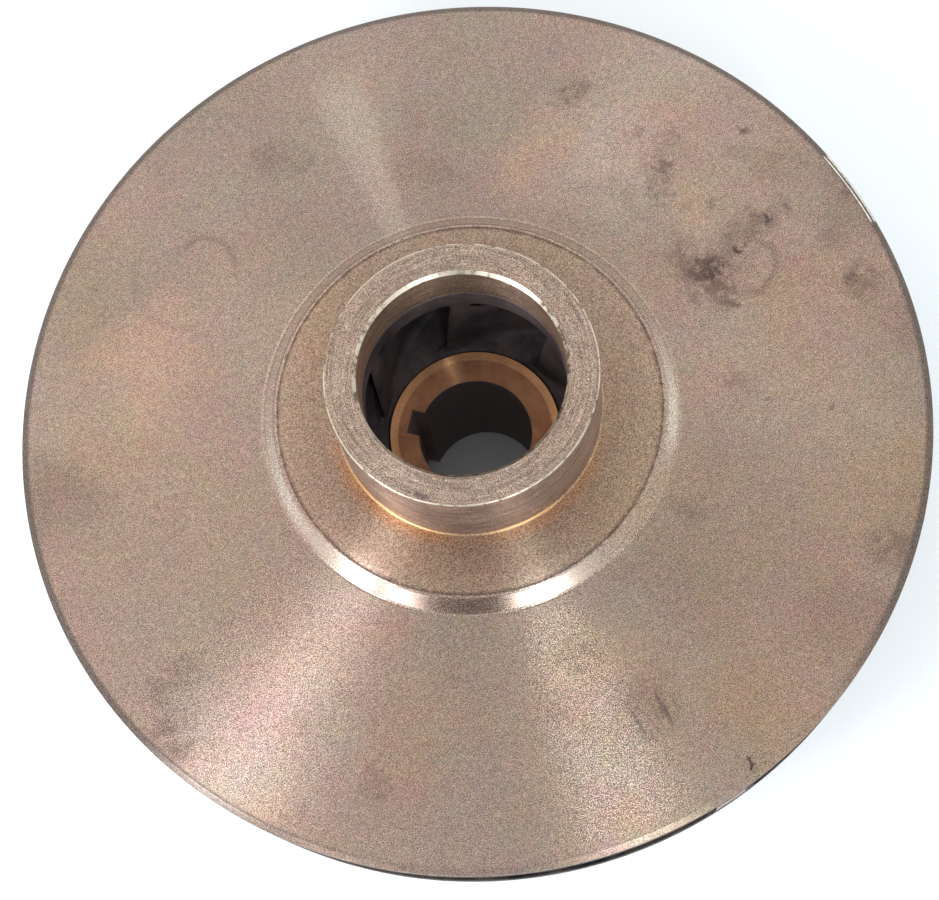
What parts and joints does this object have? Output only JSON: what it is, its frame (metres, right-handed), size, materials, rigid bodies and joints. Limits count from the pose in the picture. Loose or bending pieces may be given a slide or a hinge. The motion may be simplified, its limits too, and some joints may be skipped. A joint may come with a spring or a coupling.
{
  "type": "closed pump impeller",
  "caption": "Closed single-suction pump impeller in bronze: bevelled front disc with boss and eye ring, back disc, curved vanes between them, and a keyed shaft hub.",
  "frame": {"origin": "centre of the shaft hub's back face, which stands on the floor", "axes": "+Z along the shaft's axis towards the suction eye, -Y towards the picture's viewer"},
  "size_m": [0.224, 0.224, 0.0917],
  "materials": {
    "turned_bronze": "fine turned bronze under a taupe patina, with soft fans of light along the radius",
    "collar_bronze": "turned bronze, greyer and sandier, with bright edges",
    "hub_bronze": "freshly faced copper-coloured bronze",
    "cast_bronze": "dark brown as-cast skin"
  },
  "bodies": {
    "root": {"front_shroud": "turned_bronze", "back_shroud": "turned_bronze", "eye_ring": "collar_bronze", "shaft_hub": "hub_bronze", "vane_1": "cast_bronze", "vane_2": "cast_bronze", "vane_3": "cast_bronze", "vane_4": "cast_bronze", "vane_5": "cast_bronze", "vane_6": "cast_bronze"}
  },
  "joints": []
}
